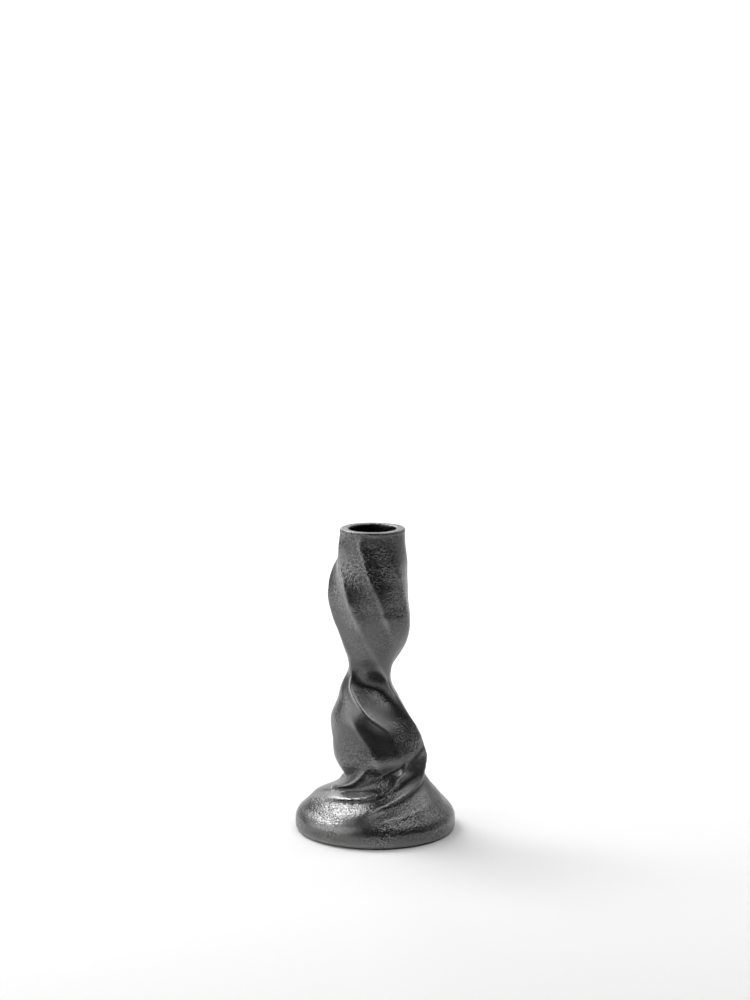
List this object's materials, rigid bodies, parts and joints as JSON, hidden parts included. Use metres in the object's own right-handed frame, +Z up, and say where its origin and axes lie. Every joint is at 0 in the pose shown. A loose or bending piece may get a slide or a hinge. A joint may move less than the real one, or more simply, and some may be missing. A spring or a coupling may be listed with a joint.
{
  "type": "spiral candle holder",
  "caption": "Cast metal candle holder: a twisted, fluted column rises from a folded round foot to a plain rim with an upright socket for a dinner candle; felt pads under the foot.",
  "frame": {"origin": "on the table, under the middle of the round foot", "axes": "+Z up, out of the candle socket; -Y towards the side that the picture shows"},
  "size_m": [0.0799, 0.0799, 0.152],
  "materials": {
    "cast_aluminium": "sand-cast skin, blackened and waxed to a satin, with a fine sparkling grain",
    "felt": "pressed wool felt"
  },
  "bodies": {
    "root": {"cast_body": "cast_aluminium", "felt_pad_front": "felt", "felt_pad_right": "felt", "felt_pad_left": "felt"}
  },
  "joints": []
}
